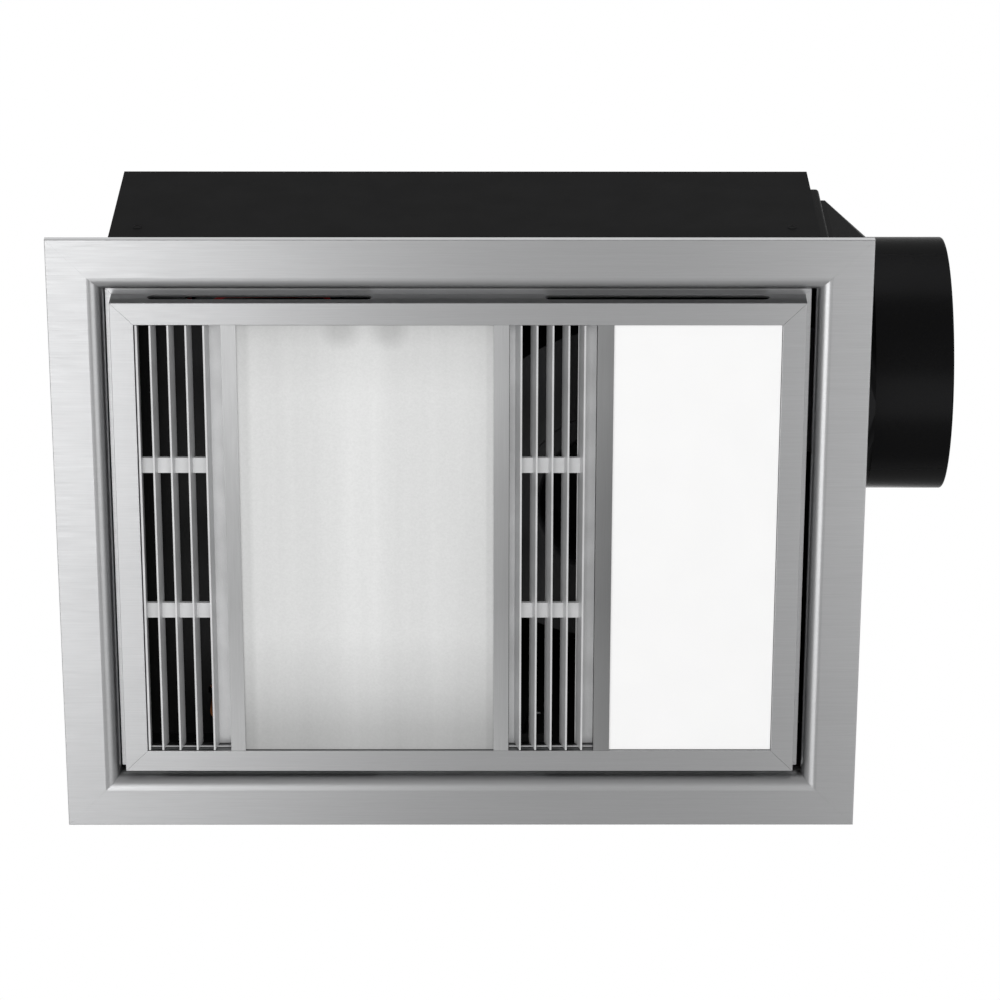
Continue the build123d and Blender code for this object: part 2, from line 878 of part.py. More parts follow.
def housing_rivets():
    """Domed rivets that hold the end plates' tabs to the shell."""
    grip = 2 * body_sheet
    head = rod((0, 0, 0), (0, 0, rivet_head_height), rivet_head_radius)
    head = fillet(head.edges().sort_by(Axis.Z)[-1:], rivet_head_round)
    rivet = head + rod((0, 0, -grip), (0, 0, 0), rivet_radius)
    rivets = []
    for x, sy in side_rivets():
        place = Plane(origin=(x, sy * body_half_depth, rivet_height), z_dir=(0, sy, 0))
        rivets.append(place.location * rivet)
    for x, y in top_rivets():
        rivets.append(Pos(x, y, body_height) * rivet)
    save("housing_rivets", *rivets)


def adaptor_screw_places():
    """Y and Z of the four screws that hold the seat and the adaptor to the right end."""
    step = adaptor_square / 2 - adaptor_screw_inset
    return [(duct_y + sy * step, duct_z + sz * step) for sy in (-1, 1) for sz in (-1, 1)]


def duct_seat():
    """The plate between housing and adaptor, stepped so that the flaps close against its lip."""
    x0 = body_right
    plane = Plane(origin=(x0, duct_y, duct_z), x_dir=(0, 1, 0), z_dir=(1, 0, 0))
    seat = extrude(plane * RectangleRounded(seat_square, seat_square, seat_corner), amount=seat_depth)
    seat = fillet(seat.faces().sort_by(Axis.X)[-1].edges(), seat_edge_round)
    x1 = seat_front + past
    seat = seat - rod((x0 - past, duct_y, duct_z), (x1, duct_y, duct_z), seat_lip_radius)
    seat = seat - rod((x0 + seat_step, duct_y, duct_z), (x1, duct_y, duct_z), seat_bore_radius)
    for y, z in adaptor_screw_places():
        seat = seat - rod((x0 - past, y, z), (x1, y, z), adaptor_screw_radius + screw_clearance)
    reach = seat_bore_radius + flap_pin_seat
    pin_bore = flap_pin_radius + bearing_clearance
    low = (flap_axis_x, duct_y, duct_z - reach)
    high = (flap_axis_x, duct_y, duct_z + reach)
    seat = seat - rod(low, high, pin_bore)
    save("duct_seat", seat)


def square_wire(plane, size, corner):
    """A square with round corners, as eight edges that start at the middle of a side."""
    half = size / 2
    edges = []
    for turn in range(4):
        angle = math.radians(90 * turn)
        ca = math.cos(angle)
        sa = math.sin(angle)

        def spin(a, b):
            return (a * ca - b * sa, a * sa + b * ca)

        edges.append(Line(spin(half, corner - half), spin(half, half - corner)))
        centre = spin(half - corner, half - corner)
        edges.append(CenterArc(centre, corner, 90 * turn, 90))
    return plane * Wire(edges)


def circle_wire(plane, radius):
    """A circle cut into eight arcs, which match the sides and corners of a square."""
    corner_angle = 90 - hood_side_angle
    edges = []
    for turn in range(4):
        start = 90 * turn - hood_side_angle / 2
        edges.append(CenterArc((0, 0), radius, start, hood_side_angle))
        edges.append(CenterArc((0, 0), radius, start + hood_side_angle, corner_angle))
    return plane * Wire(edges)


def duct_adaptor():
    """The moulded hood that turns a square flange into the round collar for the duct."""
    base = Plane(origin=(seat_front, duct_y, duct_z), x_dir=(0, 1, 0), z_dir=(1, 0, 0))
    start = base.offset(adaptor_flange)
    end = base.offset(hood_end - seat_front)
    outline = RectangleRounded(adaptor_square, adaptor_square, adaptor_corner)
    flange = extrude(base * outline, adaptor_flange)
    hood = Solid.make_loft(
        [square_wire(start, adaptor_square, adaptor_corner), circle_wire(end, duct_radius)], ruled=True
    )
    collar = rod((hood_end, duct_y, duct_z), (duct_end, duct_y, duct_z), duct_radius)
    rim = [e for e in collar.edges() if abs(e.center().X - duct_end) < 0.01]
    collar = fillet(rim, duct_rim_round)
    bore = duct_radius - duct_wall
    inner_square = adaptor_square - 2 * adaptor_border
    hollow = Solid.make_loft(
        [square_wire(base, inner_square, adaptor_inner_corner), circle_wire(end, bore)], ruled=True
    )
    body = flange + hood + collar
    body = body - hollow
    body = body - rod((hood_end - past, duct_y, duct_z), (duct_end + past, duct_y, duct_z), bore)
    for y, z in adaptor_screw_places():
        tip = seat_front + adaptor_screw_bite
        body = body - rod((seat_front - past, y, z), (tip, y, z), adaptor_screw_radius)
    save("duct_adaptor", body)


def adaptor_screws():
    """Screws from inside the housing, through the end plate and the seat into the adaptor."""
    screws = []
    for y, z in adaptor_screw_places():
        tip = seat_front + adaptor_screw_bite - screw_clearance
        shank = rod((inner_right, y, z), (tip, y, z), adaptor_screw_radius - screw_clearance / 3)
        head = rod((inner_right - screw_head_height, y, z), (inner_right, y, z), screw_head_radius)
        screws.append(shank + head)
    return screws


def knuckle_spans(sy):
    """Heights of one flap's two knuckles from the duct's axis, an inner and an outer one."""
    inner = knuckle_inner_start
    outer = knuckle_outer_start
    spans = [(-inner - knuckle_length, -inner), (outer, outer + knuckle_length)]
    if sy > 0:
        spans = [(-b, -a) for a, b in spans]
    return spans


def flap(sy):
    """A half-moon flap that shuts its side of the duct and folds down the air's way."""
    plane = Plane(origin=(flap_back, duct_y, duct_z), x_dir=(0, 1, 0), z_dir=(1, 0, 0))
    disc = extrude(plane * Circle(flap_radius), amount=flap_sheet)
    far_edge = sy * 2 * flap_radius
    inner_edge = sy * (flap_pin_radius + flap_middle_gap)
    keep = block(flap_back - past, flap_axis_x, duct_y + inner_edge, duct_y + far_edge, 0, body_height)
    plate = disc & keep
    notch = knuckle_radius + knuckle_notch_gap
    coil = spring_coil_turns * spring_coil_pitch / 2 + spring_coil_wire
    gaps = [(-coil - knuckle_notch_gap, coil + knuckle_notch_gap)]
    gaps += [(a - knuckle_notch_gap, b + knuckle_notch_gap) for a, b in knuckle_spans(-sy)]
    for a, b in gaps:
        low = duct_z + a
        high = duct_z + b
        plate = plate - block(flap_back - past, flap_axis_x, duct_y, duct_y + sy * notch, low, high)
    bore = flap_pin_radius + knuckle_clearance
    for a, b in knuckle_spans(sy):
        low = (flap_axis_x, duct_y, duct_z + a)
        high = (flap_axis_x, duct_y, duct_z + b)
        web_inner = duct_y + sy * flap_middle_gap
        web_outer = duct_y + sy * knuckle_radius
        web = block(flap_back, flap_axis_x, web_inner, web_outer, low[2], high[2])
        plate = plate + web + rod(low, high, knuckle_radius) - rod(low, high, bore)
    return plate


def flaps():
    """The two back-draught flaps, their shared pin and the coil spring that shuts them."""
    save("flap_near", flap(-1))
    save("flap_far", flap(1))
    reach = seat_bore_radius + flap_pin_seat - screw_clearance
    low = (flap_axis_x, duct_y, duct_z - reach)
    high = (flap_axis_x, duct_y, duct_z + reach)
    save("flap_pin", rod(low, high, flap_pin_radius))
    height = spring_coil_turns * spring_coil_pitch
    start = (flap_axis_x, duct_y, duct_z - height / 2)
    path = Pos(*start) * Helix(spring_coil_pitch, height, spring_coil_radius)
    section = Plane(origin=path @ 0, z_dir=path % 0) * Circle(spring_coil_wire / 2)
    save("flap_spring", sweep(section, path=path, is_frenet=True))
    print("flap spring, least gap to itself:", round(coil_gap(path), 2), "mm")


def coil_gap(path):
    """The least clear distance between two points of the coil that lie half a turn or more apart."""
    steps = 24
    points = [path @ (i / (steps * spring_coil_turns)) for i in range(steps * spring_coil_turns + 1)]
    pairs = [(a, b) for i, a in enumerate(points) for b in points[i + steps // 2 :]]
    return min((a - b).length for a, b in pairs) - spring_coil_wire


def scroll_face(grow):
    """The scroll's plan, grown outwards by a wall: four arcs that open up, then the straight outlet."""
    half = scroll_step / 2
    radii = [scroll_widest - (3 - i) * scroll_step + grow for i in range(4)]
    centres = [
        (fan_x + half, fan_y + half),
        (fan_x - half, fan_y + half),
        (fan_x - half, fan_y - half),
        (fan_x + half, fan_y - half),
    ]
    outlet_top = duct_y + outlet_width / 2 + grow
    outlet_low = duct_y - outlet_width / 2 - grow
    angle = math.degrees(math.asin((centres[0][1] - outlet_top) / radii[0]))
    tongue_x = centres[0][0] + radii[0] * math.cos(math.radians(angle))
    edges = [CenterArc(centres[0], radii[0], -angle, angle)]
    edges += [CenterArc(centres[i], radii[i], 90 * (i - 1), 90) for i in (1, 2, 3)]
    mouth = [(inner_right, outlet_low), (inner_right, outlet_top)]
    edges.append(Polyline((centres[3][0], outlet_low), *mouth, (tongue_x, outlet_top)))
    return make_face(edges)


def scroll():
    """The fan's casing: spiral wall with its outlet flange, top and bottom plates, and the inlet ring."""
    plan = Plane(origin=(0, 0, scroll_bottom_z))
    wall = extrude(plan * (scroll_face(scroll_sheet) - scroll_face(0)), amount=outlet_height)
    x1 = inner_right
    x0 = inner_right - scroll_sheet
    half_y = outlet_width / 2
    half_z = outlet_height / 2
    wide = outlet_flange
    flange_y = half_y + wide
    flange_z = half_z + wide
    flange = block(x0, x1, duct_y - flange_y, duct_y + flange_y, duct_z - flange_z, duct_z + flange_z)
    low = duct_z - half_z
    high = duct_z + half_z
    mouth = block(x0 - past, x1 + past, duct_y - half_y, duct_y + half_y, low, high)
    save("scroll_casing", wall + flange - mouth)
    plate = extrude(Plane.XY * scroll_face(scroll_sheet), amount=scroll_sheet)
    far = body_half_depth
    plate = plate - block(x0, x1 + past, -far, far, -past, scroll_sheet + past)
    top = Pos(0, 0, scroll_top_z) * plate
    under = scroll_top_z - past
    over = scroll_top_z + scroll_sheet + past
    top = top - rod((fan_x, fan_y, under), (fan_x, fan_y, over), motor_boss_radius)
    for x, y in motor_mount_places():
        hole = motor_screw_radius + screw_clearance
        top = top - rod((x, y, under), (x, y, over), hole)
    save("scroll_top", top)
    bottom = Pos(0, 0, scroll_bottom_z - scroll_sheet) * plate
    low = scroll_bottom_z - scroll_sheet
    hole = inlet_radius + scroll_sheet
    bottom = bottom - rod((fan_x, fan_y, low - past), (fan_x, fan_y, scroll_bottom_z + past), hole)
    save("scroll_bottom", bottom)
    ring_low = low - scroll_sheet
    ring_outer = inlet_radius + inlet_ring_flange
    throat = inlet_radius - key_clearance
    profile = rounded(
        [
            (ring_outer, ring_low),
            (throat, ring_low),
            (throat, ring_low + inlet_ring_rise),
            (throat + scroll_sheet, ring_low + inlet_ring_rise),
            (throat + scroll_sheet, low),
            (ring_outer, low),
        ],
        [((throat, ring_low), inlet_ring_bend)],
    )
    section = Plane(origin=(fan_x, fan_y, 0), x_dir=(1, 0, 0), z_dir=(0, -1, 0)) * profile
    axis = Axis((fan_x, fan_y, 0), (0, 0, 1))
    save("inlet_ring", revolve(section, axis=axis))


def motor_mount_places():
    """X and Y of the three rubber mounts under the motor's flange."""
    angles = [math.radians(mount_turn + 360 * i / mount_count) for i in range(mount_count)]
    return [(fan_x + mount_circle * math.cos(a), fan_y + mount_circle * math.sin(a)) for a in angles]


def motor():
    """The fan motor on rubber mounts, its screws, and the posts that hang the casing from the top."""
    base = motor_base_z
    flange_top = base + motor_flange
    case_top = flange_top + motor_height
    case = rod((fan_x, fan_y, base), (fan_x, fan_y, flange_top), motor_flange_radius)
    can = rod((fan_x, fan_y, flange_top), (fan_x, fan_y, case_top), motor_radius)
    can = fillet(can.edges().sort_by(Axis.Z)[-1:], box_round)
    case = case + can
    case = case + rod((fan_x, fan_y, case_top), (fan_x, fan_y, motor_top_z), motor_boss_radius)
    bore_top = shaft_top_z + screw_clearance
    bore = shaft_radius + bearing_clearance
    case = case - rod((fan_x, fan_y, base - past), (fan_x, fan_y, bore_top), bore)
    mounts = []
    low = scroll_top_z + scroll_sheet
    for x, y in motor_mount_places():
        hole = motor_screw_radius + screw_clearance
        case = case - rod((x, y, base - past), (x, y, flange_top + past), hole)
        mounts.append(tube((x, y, low), (x, y, base), mount_radius, hole))
    save("motor_case", case)
    save("motor_mounts", *mounts)
    posts = []
    for i in range(standoff_count):
        angle = math.radians(standoff_turn + 360 * i / standoff_count)
        x = fan_x + standoff_circle * math.cos(angle)
        y = fan_y + standoff_circle * math.sin(angle)
        posts.append(rod((x, y, low), (x, y, inner_top), standoff_radius))
    save("fan_posts", *posts)


def motor_screws():
    """Screws through the motor's flange and its rubber mounts into the casing's top plate."""
    flange_top = motor_base_z + motor_flange
    screws = []
    for x, y in motor_mount_places():
        shank = rod((x, y, scroll_top_z), (x, y, flange_top), motor_screw_radius)
        head = rod((x, y, flange_top), (x, y, flange_top + screw_head_height), screw_head_radius)
        screws.append(shank + head)
    return screws


def impeller_blade_face():
    """One forward-curved blade in plan, from the eye's edge to the rim."""
    inner = impeller_eye_radius + impeller_blade_inset
    outer = impeller_radius - impeller_blade_inset
    middle = (inner + outer) / 2
    tip = impeller_blade_slant
    belly = tip / 2 - impeller_blade_bow
    thick = impeller_blade
    front = ThreePointArc((inner, 0), (middle, belly), (outer, tip))
    back = ThreePointArc((outer, tip + thick), (middle, belly + thick), (inner, thick))
    return make_face([front, Line(front @ 1, back @ 0), back, Line(back @ 1, front @ 0)])


def impeller():
    """The squirrel-cage wheel, open below towards the inlet ring, on the motor's shaft."""
    axis_low = (fan_x, fan_y, impeller_top_z - impeller_plate)
    axis_high = (fan_x, fan_y, impeller_top_z)
    wheel = rod(axis_low, axis_high, impeller_radius)
    ring_top = impeller_bottom_z + impeller_plate
    wheel = wheel + tube(
        (fan_x, fan_y, impeller_bottom_z), (fan_x, fan_y, ring_top), impeller_radius, impeller_eye_radius
    )
    blade_height = impeller_top_z - impeller_bottom_z - impeller_plate / 2
    low = Plane(origin=(fan_x, fan_y, impeller_bottom_z + impeller_plate / 4))
    vane = extrude(low * impeller_blade_face(), amount=blade_height)
    centre = Axis((fan_x, fan_y, 0), (0, 0, 1))
    vanes = [vane.rotate(centre, 360 * i / blade_count) for i in range(blade_count)]
    wheel = wheel.fuse(*vanes)
    wheel = wheel + rod((fan_x, fan_y, hub_bottom_z), axis_low, hub_radius)
    bore = shaft_radius + shaft_press
    wheel = wheel - rod((fan_x, fan_y, hub_bottom_z - past), (fan_x, fan_y, impeller_top_z + past), bore)
    save("impeller", wheel)
    nut_low = hub_bottom_z - nut_height
    save("fan_shaft", rod((fan_x, fan_y, nut_low), (fan_x, fan_y, shaft_top_z), shaft_radius))
    nut_plane = Plane(origin=(fan_x, fan_y, nut_low))
    nut = extrude(nut_plane * RegularPolygon(nut_radius, 6), amount=nut_height)
    nut = nut - rod((fan_x, fan_y, nut_low - past), (fan_x, fan_y, hub_bottom_z + past), bore)
    save("impeller_nut", nut)


def reflector():
    """The folded trough over the lamps, with its end cheeks and the lips along its long sides."""
    def trough(half_low, half_high, top, length):
        outline = Polyline(
            (glass_centre - half_low, reflector_bottom),
            (glass_centre + half_low, reflector_bottom),
            (glass_centre + half_high, top),
            (glass_centre - half_high, top),
            close=True,
        )
        plane = Plane(origin=(0, length, 0), x_dir=(1, 0, 0), z_dir=(0, -1, 0))
        return extrude(plane * make_face(outline), amount=2 * length)

    outer = trough(reflector_half_bottom, reflector_half_top, reflector_top, reflector_half_length)
    thin = reflector_sheet
    inner = trough(
        reflector_half_bottom - thin,
        reflector_half_top - thin / 2,
        reflector_top - thin,
        reflector_half_length - thin,
    )
    body = outer - inner
    for way in (-1, 1):
        edge = glass_centre + way * reflector_half_bottom
        body = body + block(
            edge - way * thin,
            edge + way * reflector_lip,
            -reflector_half_length,
            reflector_half_length,
            reflector_bottom,
            reflector_bottom + thin,
        )
    save("reflector", body)
    low = (glass_centre, cutout_y, reflector_top)
    disc = rod(low, (glass_centre, cutout_y, reflector_top + cutout_height), cutout_radius)
    disc = fillet(disc.edges().sort_by(Axis.Z)[-1:], box_round / 2)
    save("thermal_cutout", disc)


def lamps():
    """Two quartz lamps with ceramic ends, their holders, and the brackets under the shelf."""
    holder_end = reflector_half_length - reflector_sheet
    cap_end = holder_end - holder_length
    glass_end = cap_end - lamp_cap_length
    tubes = []
    caps = []
    filaments = []
    holders = []
    for sx in (-1, 1):
        x = glass_centre + sx * lamp_spacing / 2
        tubes.append(
            tube(
                (x, -glass_end, lamp_height),
                (x, glass_end, lamp_height),
                lamp_tube_radius,
                lamp_tube_radius - lamp_tube_wall,
            )
        )
        filaments.append(rod((x, -glass_end, lamp_height), (x, glass_end, lamp_height), filament_radius))
        for sy in (-1, 1):
            cap = rod((x, sy * glass_end, lamp_height), (x, sy * cap_end, lamp_height), lamp_cap_radius)
            caps.append(cap)
            holders.append(
                block(
                    x - holder_width / 2,
                    x + holder_width / 2,
                    sy * cap_end,
                    sy * holder_end,
                    lamp_height - holder_height / 2,
                    lamp_height + holder_height / 2,
                )
            )
    save("lamp_tubes", *tubes)
    save("lamp_caps", *caps)
    save("lamp_filaments", *filaments)
    save("lamp_holders", *holders)
    brackets = []
    x0 = glass_centre - lamp_bracket_half
    x1 = glass_centre + lamp_bracket_half
    for sy in (-1, 1):
        inner = sy * reflector_half_length
        outer = sy * (reflector_half_length + lamp_bracket_sheet)
        plate = block(x0, x1, inner, outer, lamp_bracket_bottom, shelf_height)
        foot = block(
            x0, x1, inner, inner + sy * lamp_bracket_foot, shelf_height - lamp_bracket_sheet, shelf_height
        )
        brackets.append(plate + foot)
    save("lamp_brackets", *brackets)


def lamp_lead_route(way, drop_gap, bend_back):
    """Points of a lamp's lead: along the shelf, down through it, and in at the end of the reflector."""
    level = shelf_top + lead_above_shelf
    drop_x = glass_centre - reflector_half_bottom - reflector_lip - drop_gap
    drop_y = reflector_half_length - lead_drop_inset
    bracket_out = reflector_half_length + lamp_bracket_sheet
    run_y = bracket_out + lead_run_gap
    entry_x = glass_centre - lead_entry_offset
    start_y = gland_y + way * (terminal_length / 2 + cover_gap)
    return [
        (terminal_x, start_y, level),
        (terminal_x, way * (drop_y - bend_back), level),
        (drop_x, way * drop_y, level),
        (drop_x, way * drop_y, lead_run_height),
        (drop_x + lead_turn_length, way * run_y, lead_run_height),
        (entry_x, way * run_y, lead_run_height),
        (entry_x, way * bracket_out, lead_run_height),
    ]


def motor_lead_route():
    """Points of the motor's lead: from the terminal cover up through the partition to the motor's side."""
    face = fan_x - motor_radius * math.cos(math.radians(motor_lead_angle))
    face_y = fan_y + motor_radius * math.sin(math.radians(motor_lead_angle))
    motor_z = motor_base_z + motor_flange + motor_height / 2
    level = shelf_top + motor_lead_above_shelf
    return [
        (terminal_x + terminal_width / 2 + cover_gap, gland_y, level),
        (partition_x - motor_lead_rise_start, gland_y, level),
        (partition_x - motor_lead_rise_end, gland_y, motor_z - motor_lead_slope),
        (partition_x + motor_lead_past_partition, fan_y + motor_lead_side, motor_z),
        (face, face_y, motor_z),
    ]


def lead(points, radius, bends):
    """A round lead along straight runs and arcs."""
    path = FilletPolyline(*points, radius=bends)
    section = Plane(origin=path @ 0, z_dir=path % 0) * Circle(radius)
    return sweep(section, path=path)


def leads():
    """The leads inside the housing, each from the terminal cover to what it feeds."""
    bends = [lead_bend] * 4 + [lead_end_bend]
    save("red_lamp_lead", lead(lamp_lead_route(-1, red_drop_gap, red_bend_back), lead_radius, bends))
    save("brown_lamp_lead", lead(lamp_lead_route(1, brown_drop_gap, brown_bend_back), lead_radius, bends))
    wide = motor_lead_wide_bend
    save("motor_lead", lead(motor_lead_route(), motor_lead_radius, [motor_lead_bend, wide, wide]))


def electrics_shelf():
    """The shelf over the heater, folded up into the partition beside the fan."""
    half = inner_half_depth
    shelf = block(inner_left, partition_x, -half, half, shelf_height, shelf_top)
    shelf = shelf + block(partition_x - shelf_sheet, partition_x, -half, half, shelf_height, inner_top)
    for sy in (-1, 1):
        wall = sy * half
        upturn_top = shelf_height + shelf_upturn
        upturn = block(inner_left, partition_x, wall, wall - sy * shelf_sheet, shelf_height, upturn_top)
        shelf = shelf + upturn
    for way, gap, back in ((-1, red_drop_gap, red_bend_back), (1, brown_drop_gap, brown_bend_back)):
        x, y = lamp_lead_route(way, gap, back)[2][:2]
        shelf = shelf - rod((x, y, shelf_height - past), (x, y, shelf_top + past), lead_hole_radius)
    start, end = motor_lead_route()[2:4]
    share = (partition_x - shelf_sheet / 2 - start[0]) / (end[0] - start[0])
    y = start[1] + share * (end[1] - start[1])
    z = start[2] + share * (end[2] - start[2])
    hole_start = (partition_x - shelf_sheet - past, y, z)
    hole = rod(hole_start, (partition_x + past, y, z), lead_hole_radius + motor_lead_radius / 2)
    save("electrics_shelf", shelf - hole)


def cable_gland():
    """The gland that the supply cable enters by, and its nut inside the left end."""
    outside = -body_left
    flange_end = outside - gland_flange
    nose_end = flange_end - gland_nose
    inside = inner_left + gland_inside
    body = rod((outside, gland_y, gland_z), (flange_end, gland_y, gland_z), gland_flange_radius)
    body = body + rod((flange_end, gland_y, gland_z), (nose_end, gland_y, gland_z), gland_nose_radius)
    nose_edges = [e for e in body.edges() if abs(e.center().X - nose_end) < 0.01]
    body = fillet(nose_edges, box_round)
    body = body + rod((outside, gland_y, gland_z), (inside, gland_y, gland_z), gland_thread_radius)
    bore_start = (nose_end - past, gland_y, gland_z)
    body = body - rod(bore_start, (inside + past, gland_y, gland_z), gland_bore_radius)
    save("cable_gland", body)
    plane = Plane(origin=(inner_left, gland_y, gland_z), x_dir=(0, 1, 0), z_dir=(1, 0, 0))
    nut = extrude(plane * RegularPolygon(gland_nut_radius, 6), amount=gland_nut_height)
    bore = gland_thread_radius + gland_hole_clearance
    nut = nut - rod((inner_left - past, gland_y, gland_z), (inside + past, gland_y, gland_z), bore)
    save("gland_nut", nut)


def electrics():
    """Terminal block under its cover, the light's driver and the motor's capacitor."""
    half_x = terminal_width / 2
    half_y = terminal_length / 2
    low = shelf_top
    body = block(
        terminal_x - half_x,
        terminal_x + half_x,
        gland_y - half_y,
        gland_y + half_y,
        low,
        low + terminal_height,
    )
    for i in range(terminal_ways):
        y = gland_y - half_y + terminal_length * (i + 0.5) / terminal_ways
        top = low + terminal_height
        bottom = top - terminal_screw_depth
        body = body - rod((terminal_x, y, bottom), (terminal_x, y, top + past), terminal_screw_radius)
    save("terminal_block", body)
    reach_x = half_x + cover_gap
    reach_y = half_y + cover_gap
    outer = block(
        terminal_x - reach_x,
        terminal_x + reach_x,
        gland_y - reach_y,
        gland_y + reach_y,
        low,
        low + cover_height,
    )
    top_edges = outer.edges().filter_by(Axis.Z)
    outer = fillet(top_edges, box_round)
    wall = cover_wall
    inner = block(
        terminal_x - reach_x + wall,
        terminal_x + reach_x - wall,
        gland_y - reach_y + wall,
        gland_y + reach_y - wall,
        low,
        low + cover_height - wall,
    )
    save("terminal_cover", outer - inner)
    driver = block(
        driver_x - driver_width / 2,
        driver_x + driver_width / 2,
        driver_y - driver_length / 2,
        driver_y + driver_length / 2,
        low,
        low + driver_height,
    )
    save("light_driver", fillet(driver.edges().filter_by(Axis.Z), box_round))
    capacitor = block(
        capacitor_x - capacitor_width / 2,
        capacitor_x + capacitor_width / 2,
        capacitor_y - capacitor_length / 2,
        capacitor_y + capacitor_length / 2,
        low,
        low + capacitor_height,
    )
    save("run_capacitor", fillet(capacitor.edges().filter_by(Axis.Z), box_round))


def main():
    """Writes every node of the unit."""
    os.makedirs("parts", exist_ok=True)
    trim_frame()
    trim_clips()
    panel_frame()
    divider_strips()
    grilles()
    heater_glass()
    light()
    panel_springs()
    spring_brackets()
    housing_shell()
    end_plates()
    housing_rivets()
    duct_seat()
    duct_adaptor()
    flaps()
    scroll()
    motor()
    save("fan_screws", *adaptor_screws(), *motor_screws())
    impeller()
    reflector()
    lamps()
    leads()
    electrics_shelf()
    cable_gland()
    electrics()


main()
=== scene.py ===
import bpy
import json
import math
from mathutils import Matrix, Vector


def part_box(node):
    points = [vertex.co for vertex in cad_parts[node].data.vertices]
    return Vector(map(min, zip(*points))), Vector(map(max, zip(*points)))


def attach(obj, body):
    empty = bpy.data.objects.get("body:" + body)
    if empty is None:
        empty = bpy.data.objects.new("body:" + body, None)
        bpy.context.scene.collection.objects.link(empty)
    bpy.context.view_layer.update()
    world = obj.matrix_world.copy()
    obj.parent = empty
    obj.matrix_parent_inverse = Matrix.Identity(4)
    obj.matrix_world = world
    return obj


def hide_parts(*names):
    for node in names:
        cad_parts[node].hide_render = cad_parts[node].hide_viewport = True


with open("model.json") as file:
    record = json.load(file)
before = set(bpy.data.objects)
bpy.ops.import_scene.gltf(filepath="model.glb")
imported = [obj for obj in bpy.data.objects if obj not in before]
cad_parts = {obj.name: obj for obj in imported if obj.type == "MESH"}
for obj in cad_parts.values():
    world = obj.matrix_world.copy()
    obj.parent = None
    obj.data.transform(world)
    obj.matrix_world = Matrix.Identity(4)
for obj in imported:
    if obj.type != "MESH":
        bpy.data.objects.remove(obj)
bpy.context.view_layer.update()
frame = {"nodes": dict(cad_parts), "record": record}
cadNodes = frame["nodes"]
print("frame loaded with", len(cadNodes), "parts")

# Used by several materials: where a noise's values mostly lie, white, and the depth of a fine grain in metres
closeSpan = (0.32, 0.68)
wideSpan = (0.3, 0.7)
white = (1.0, 1.0, 1.0)
grainDepth = 0.0003


def newMaterial(name):
    material = bpy.data.materials.new(name)
    material.use_nodes = True
    tree = material.node_tree
    tree.nodes.clear()
    output = tree.nodes.new("ShaderNodeOutputMaterial")
    shader = tree.nodes.new("ShaderNodeBsdfPrincipled")
    tree.links.new(shader.outputs["BSDF"], output.inputs["Surface"])
    return material, tree, shader


def placeOnObject(tree, scale=(1, 1, 1), shift=(0, 0, 0)):
    coordinates = tree.nodes.new("ShaderNodeTexCoord")
    mapping = tree.nodes.new("ShaderNodeMapping")
    mapping.inputs["Scale"].default_value = scale
    mapping.inputs["Location"].default_value = shift
    tree.links.new(coordinates.outputs["Object"], mapping.inputs["Vector"])
    return mapping.outputs["Vector"]


def noiseOn(tree, scale, detail, roughness, shift=(0, 0, 0)):
    noise = tree.nodes.new("ShaderNodeTexNoise")
    noise.inputs["Scale"].default_value = 1.0
    noise.inputs["Detail"].default_value = detail
    noise.inputs["Roughness"].default_value = roughness
    tree.links.new(placeOnObject(tree, scale, shift), noise.inputs["Vector"])
    return noise.outputs["Fac"]


def splitAxes(tree, vector):
    axes = tree.nodes.new("ShaderNodeSeparateXYZ")
    tree.links.new(vector, axes.inputs["Vector"])
    return axes.outputs


def joinValues(tree, operation, first, second):
    node = tree.nodes.new("ShaderNodeMath")
    node.operation = operation
    tree.links.new(first, node.inputs[0])
    tree.links.new(second, node.inputs[1])
    return node.outputs[0]


def rampOn(tree, value, stops):
    ramp = tree.nodes.new("ShaderNodeValToRGB")
    elements = ramp.color_ramp.elements
    for stop, (position, colour) in zip(elements, (stops[0], stops[-1])):
        stop.position = position
        stop.color = (*colour, 1)
    for position, colour in stops[1:-1]:
        elements.new(position).color = (*colour, 1)
    tree.links.new(value, ramp.inputs["Fac"])
    return ramp.outputs["Color"]


def spread(tree, value, low, high, span=wideSpan):
    node = tree.nodes.new("ShaderNodeMapRange")
    node.inputs["From Min"].default_value = span[0]
    node.inputs["From Max"].default_value = span[1]
    node.inputs["To Min"].default_value = low
    node.inputs["To Max"].default_value = high
    tree.links.new(value, node.inputs["Value"])
    return node.outputs["Result"]


def timesColours(tree, first, second, factor=1.0):
    mix = tree.nodes.new("ShaderNodeMix")
    mix.data_type = "RGBA"
    mix.blend_type = "MULTIPLY"
    for socket, value in ((mix.inputs[0], factor), (mix.inputs[6], first), (mix.inputs[7], second)):
        if isinstance(value, bpy.types.NodeSocket):
            tree.links.new(value, socket)
        elif isinstance(value, tuple):
            socket.default_value = (*value, 1)
        else:
            socket.default_value = value
    return mix.outputs[2]


def bumpOn(tree, shader, height, strength, distance=grainDepth):
    bump = tree.nodes.new("ShaderNodeBump")
    bump.inputs["Strength"].default_value = strength
    bump.inputs["Distance"].default_value = distance
    tree.links.new(height, bump.inputs["Height"])
    tree.links.new(bump.outputs["Normal"], shader.inputs["Normal"])


